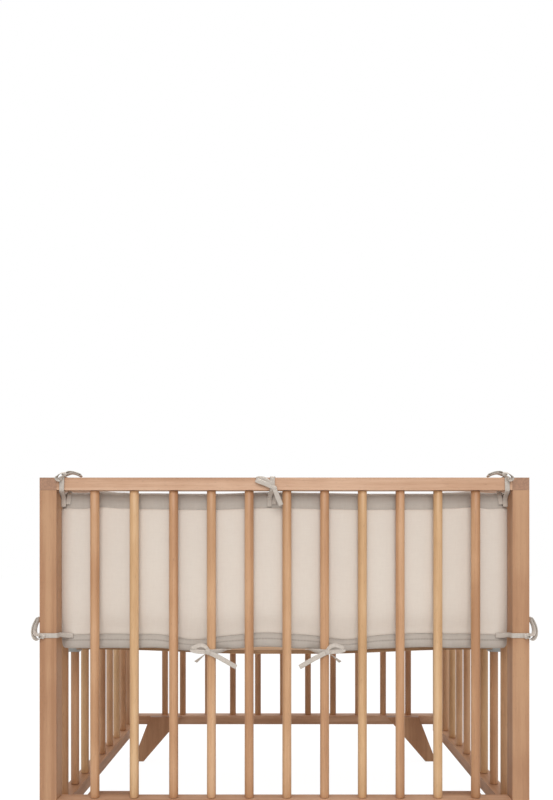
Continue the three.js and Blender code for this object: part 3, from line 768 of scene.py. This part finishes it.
class TieMesh:
    def __init__(self):
        self.points, self.faces, self.place, self.length = [], [], [], 0.0

    def ribbon(self, line, acrossFrom, acrossTo=None, pinch=(0, 0)):
        middle, run = evenLine(line, ribbon["step"])
        along = np.gradient(middle, axis=0)
        along /= np.linalg.norm(along, axis=1)[:, None]
        share = (run / run[-1])[:, None]
        across = np.array(acrossFrom, float) * (1 - share) + np.array(acrossTo or acrossFrom, float) * share
        across -= along * np.sum(across * along, axis=1)[:, None]
        across /= np.linalg.norm(across, axis=1)[:, None]
        normal = np.cross(along, across)
        count, first = ribbon["across"], len(self.points)
        pinchRun = ribbon["pinchRun"]
        narrow = 1 - pinch[0] * np.exp(-run / pinchRun) - pinch[1] * np.exp(-(run[-1] - run) / pinchRun)
        for i in range(len(middle)):
            ring = []
            half = ribbon["wide"] / 2 * narrow[i]
            for face in (1, -1):
                for k in range(count):
                    u = (2 * k / (count - 1) - 1) * face
                    thick = ribbon["thick"] / 2 * (1 - ribbon["edgeThin"] * abs(u) ** 5)
                    cup = ribbon["cup"] * (u * u - 0.4) * math.sin(run[i] / ribbon["cupRun"] + first)
                    ring.append(middle[i] + across[i] * u * half + normal[i] * (thick * face + cup))
                    self.place.append((u * half, run[i] + self.length, 0))
            self.points += ring
        sides = 2 * count
        for i in range(len(middle) - 1):
            for k in range(sides):
                a, b = first + i * sides + k, first + i * sides + (k + 1) % sides
                self.faces.append((a, b, b + sides, a + sides))
        for start in (first, first + (len(middle) - 1) * sides):
            for k in range(count - 1):
                self.faces.append((start + k, start + k + 1, start + sides - 2 - k, start + sides - 1 - k))
        self.length += run[-1]

    # a short turn of ribbon pulled tight round the middle of the bow
    def knot(self, middle, size, lean):
        around, up, first = knotted["around"], knotted["up"], len(self.points)
        for j in range(up + 1):
            tilt = math.pi * (j + 0.5) / (up + 1) - math.pi / 2
            for k in range(around):
                turn = 2 * math.pi * k / around
                slant = math.sin(tilt) + lean * math.cos(turn)
                pleat = 1 + knotted["pleat"] * math.sin(knotted["pleats"] * slant * knotted["pleatTurn"])
                x, y, z = math.cos(tilt) * math.cos(turn), math.cos(tilt) * math.sin(turn), math.sin(tilt)
                self.points.append(np.array(middle) + np.array(size) * pleat * np.array([x, y, z]))
                self.place.append((turn * knotted["cloth"], z * knotted["cloth"], 0))
        for j in range(up):
            for k in range(around):
                n = (k + 1) % around
                a, b = first + j * around, first + (j + 1) * around
                self.faces.append((a + k, a + n, b + n, b + k))
        self.faces.append(tuple(first + k for k in range(around)))
        self.faces.append(tuple(first + up * around + k for k in range(around)))


alongX, alongY, alongZ = (1, 0, 0), (0, 1, 0), (0, 0, 1)


def railStraps(tie):
    off, top = woodLift, bumper["top"]
    back = postSide + off
    tie.ribbon(roundCorners([
        (-4, onUpperBand, top - 29), (-4, onUpperBand, top - 13), (-3, onUpperBand - 6, railBottom - 11),
        (0, 8, railBottom - 4.5), (2, 0, railBottom - off), (2.5, -off, railBottom + 0.6),
        (3, -off, penHeight), (3, -off * 0.6, penHeight + off * 0.8), (3, 0.6, penHeight + off),
        (4, postSide / 2, penHeight + off),
    ]), alongX)
    tie.ribbon(roundCorners([
        (2, postSide / 2 - 4, penHeight + off), (5, postSide - 0.6, penHeight + off),
        (5, postSide + off * 0.6, penHeight + off * 0.8), (6, back, penHeight), (8, back, railBottom + 1),
        (8.5, postSide + 0.6, railBottom - 2.2), (8, onUpperBand - 0.2, top - 3),
        (5.5, onUpperBand, top - 24),
    ]), alongX)


def railTie():
    tie, top = TieMesh(), penHeight
    railStraps(tie)
    tie.ribbon(smoothLine([
        (6, 3, top + 6), (13, 5, top + 11.4), (21, 6, top + 12), (31, 6.5, top + 9.8), (42, 6, top + 4.8),
        (40, 6, top + 3.4), (31, 6.5, top + 7), (21, 6, top + 9), (12, 5, top + 6), (6, 3, top + 3.6),
    ]), (0, 0.92, -0.38), (0.05, 0.94, -0.34), (0.35, 0.35))
    tie.ribbon(smoothLine([
        (9, -5.6, top + 9), (2, -6.6, top + 8), (-6.5, -7, top - 0.5), (-4, -7, top - 5), (2.5, -7, top - 6),
        (4, -6.8, top - 1), (9, -5.6, top + 6),
    ]), (0.3, 0.85, 0.42), (0.5, 0.7, 0.5), (0.3, 0.3))
    tie.knot((8, -1.8, top + 6.6), (5.6, 4.6, 4.4), 0.5)
    return tie


def middleTie():
    tie, bottom = TieMesh(), railBottom
    railStraps(tie)
    tie.ribbon(smoothLine([
        (6, -4.4, bottom + 4), (-10, -8.2, bottom + 12), (-26, -8.4, bottom + 18), (-31, -6, bottom + 21),
        (-28, -3.4, bottom + 23), (-14, -3.4, bottom + 22), (6, -3.4, bottom + 7),
    ]), (0.3, 0, 0.95), None, (0.35, 0.35))
    tie.ribbon(smoothLine([
        (6, -4.6, bottom + 6), (10, -6.6, bottom - 5), (15, -4.5, bottom - 18), (21, -1.5, bottom - 32),
    ]), (0.9, 0.15, 0.42), None, (0.35, 0))
    tie.knot((6.5, -4.4, bottom + 3.5), (6, 3.6, 5.6), -0.6)
    return tie


def postTie():
    tie, off = TieMesh(), woodLift
    back, high, low = postSide + off, bumper["base"] + 29, bumper["base"] + 25
    tie.ribbon(roundCorners([
        (postSide + 26, onLowerBand, low), (postSide + 15, onLowerBand - 3, low), (postSide + 4, 16, high),
        (back, 1, high), (postSide + off * 0.6, -off * 0.8, high), (postSide - 1, -off, high),
        (1, -off, high), (-off * 0.8, -off * 0.6, high), (-off, 1, high), (-off, postSide - 1, high),
        (-off * 0.8, postSide + off * 0.6, high), (1, back, high),
        (18, back + 0.6, high - 1), (onLowerBand - 3, postSide + 7, low), (onLowerBand, postSide + 25, low),
    ]), alongZ)
    tie.ribbon(smoothLine([
        (7, -7.2, high - 3), (-1.5, -7, high - 8), (-9.5, -4, high - 4), (-14, 0, high + 8),
        (-12, 2, high + 22), (-3.6, 3, high + 38), (-3.4, 3, high + 32), (-8, 1, high + 19),
        (-8.5, -2, high + 8), (-3.5, -7, high + 1), (7, -7.2, high + 1),
    ]), (0.35, 0.85, 0.3), (0.5, 0.85, 0.1), (0.3, 0.3))
    tie.knot((8, -4.4, high - 1), (5.6, 3.6, 5.6), 0.6)
    return tie


def dowelTie():
    tie, high = TieMesh(), bumper["base"] - 6
    ring, setBack = barRadius + barLift, postSide / 2

    def onRing(degrees):
        turn = math.radians(degrees)
        return (ring * math.cos(turn), setBack + ring * math.sin(turn), high)

    tie.ribbon(np.array([onRing(d) for d in range(-50, -261, -10)]), alongZ)
    tie.ribbon(roundCorners([
        onRing(-50), (18, 16, high + 0.4), (28, 25, high + 0.8), (38, bumper["setBack"] + 5, high + 1.2),
    ]), alongZ, (0, -1, 0))
    tie.ribbon(roundCorners([
        onRing(-260), (12, bumper["setBack"] - 0.2, high + 0.4), (25, bumper["setBack"] + 3, high + 1.2),
    ]), alongZ, (0, -1, 0))
    tie.ribbon(smoothLine([
        (-4, 4, high), (-17, 0, high + 1), (-31, 0, high + 2.5), (-40, 2, high + 6), (-33, 5, high + 10.5),
        (-22, 6, high + 14), (-13, 6, high + 12), (-4, 4, high + 3),
    ]), (0.1, 0.62, 0.78), None, (0.35, 0.35))
    tie.ribbon(smoothLine([(-7, 3.5, high), (6, 2.2, high - 5), (30, 3.5, high - 18), (53, 6.5, high - 32)]),
               (0.46, 0, 0.89), (0.6, 0.4, 0.7), (0.3, 0))
    tie.ribbon(smoothLine([(-8, 3.5, high - 2), (-19, 5, high - 10), (-32, 6.5, high - 21)]),
               alongY, (0.4, 0.75, -0.45), (0.3, 0))
    tie.knot((-6, 2.6, high), (6, 4.2, 5.6), 0.5)
    return tie


# places along their sides, in millimetres
tieAlong = {"corner": 466, "middle": -28, "wing": 856}
frontBars = [(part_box(f"dowel_front_{k}")[0].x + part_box(f"dowel_front_{k}")[1].x) / 2 / mm for k in (4, 7)]
sideBar = (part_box("dowel_left_5")[0].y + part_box("dowel_left_5")[1].y) / 2 / mm
wingY = float(planAt(np.array(float(tieAlong["wing"])))[1])
# each tie: how it is tied, its side of the playpen, its place along that side, and mirrored or not
tiePlaces = [
    ("tie_top_left", railTie, "front", -tieAlong["corner"], 1),
    ("tie_top_right", railTie, "front", tieAlong["corner"], -1),
    ("tie_post_left", postTie, "front", -penWidth / 2, 1),
    ("tie_post_right", postTie, "front", penWidth / 2, -1),
    ("tie_top_middle", middleTie, "front", tieAlong["middle"], 1),
    ("tie_low_left", dowelTie, "front", frontBars[0], 1),
    ("tie_low_right", dowelTie, "front", frontBars[1], -1),
    ("wing_tie_top_left", railTie, "left", wingY, 1),
    ("wing_tie_top_right", railTie, "right", wingY, -1),
    ("wing_tie_low_left", dowelTie, "left", sideBar, 1),
    ("wing_tie_low_right", dowelTie, "right", sideBar, -1),
]


def addTies():
    for node, make, side, where, flip in tiePlaces:
        tie = make()
        x, y, z = np.array(tie.points).T
        x = x * flip
        if side == "front":
            spots = np.stack([x + where, y - penDepth / 2, z], 1)
        else:
            hand = -1 if side == "left" else 1
            spots = np.stack([hand * (penWidth / 2 - y), where + hand * x, z], 1)
        place = np.array(tie.place) * mm
        piece = addPiece(f"ribbon_{node}", spots * mm, tie.faces, ribbonFinish, [node], place)


addTies()
print("ties done")

# floor, light and camera
stage = {
    "floor": 30.0,
    "floorColour": (0.8, 0.8, 0.79, 1),
    "floorWhite": 1.12,
    "floorShare": 0.85,  # of that white, to the camera only
    "white": 1.0,
    "fill": 0.56,
    "lightSpread": 100,  # degrees
}
lights = {
    "key": {"place": (0, -3.6, 2.3), "target": (0, -0.2, 0.55), "size": (2.4, 1.8), "power": 21.5},
    "top": {"place": (0, 0.1, 3.6), "target": (0, 0, 0.4), "size": (2.4, 2.4), "power": 27.0},
}
view = {"place": (0, -1.863, 0.657), "lens": 31.725, "sensor": 36, "shift": (-0.010, 0.18875)}


def addStage():
    half = stage["floor"] / 2
    mesh = bpy.data.meshes.new("floor")
    corners = [(-half, -half, 0), (half, -half, 0), (half, half, 0), (-half, half, 0)]
    mesh.from_pydata(corners, [], [(0, 1, 2, 3)])
    floor = bpy.data.objects.new("floor", mesh)
    bpy.context.scene.collection.objects.link(floor)
    finish = Finish("paleFloor")
    seen = finish.add("ShaderNodeLightPath", None, None, "Is Camera Ray")
    pale = finish.add("ShaderNodeBsdfDiffuse", None, {"Color": stage["floorColour"]})
    white = finish.add("ShaderNodeEmission", None, {"Strength": stage["floorWhite"]})
    share = seen * stage["floorShare"]
    finish.close(finish.add("ShaderNodeMixShader", None, {0: share, 1: pale, 2: white}))
    mesh.materials.append(finish.material)

    world = bpy.data.worlds.new("studio")
    bpy.context.scene.world = world
    world.use_nodes = True
    tree = world.node_tree
    path = tree.nodes.new("ShaderNodeLightPath")
    spread = tree.nodes.new("ShaderNodeMapRange")
    tree.links.new(path.outputs["Is Camera Ray"], spread.inputs[0])
    spread.inputs[3].default_value = stage["fill"]
    spread.inputs[4].default_value = stage["white"]
    tree.links.new(spread.outputs[0], tree.nodes["Background"].inputs["Strength"])
    tree.nodes["Background"].inputs["Color"].default_value = (1, 1, 1, 1)


def addLight(name, place, target, size, power):
    light = bpy.data.lights.new(name, "AREA")
    light.shape = "RECTANGLE"
    light.size, light.size_y = size
    light.energy = power
    light.spread = math.radians(stage["lightSpread"])
    lamp = bpy.data.objects.new(name, light)
    lamp.location = place
    lamp.rotation_mode = "QUATERNION"
    lamp.rotation_quaternion = (Vector(target) - Vector(place)).to_track_quat("-Z", "Y")
    bpy.context.scene.collection.objects.link(lamp)


def addCamera():
    camera = bpy.data.objects.new("camera", bpy.data.cameras.new("camera"))
    camera.location = view["place"]
    camera.rotation_euler = (math.pi / 2, 0, 0)
    camera.data.lens = view["lens"]
    camera.data.sensor_width = view["sensor"]
    camera.data.shift_x, camera.data.shift_y = view["shift"]
    bpy.context.scene.collection.objects.link(camera)
    bpy.context.scene.camera = camera


addStage()
for name, light in lights.items():
    addLight(name, **light)
addCamera()
bpy.context.scene.view_settings.view_transform = "Standard"
print("stage done")
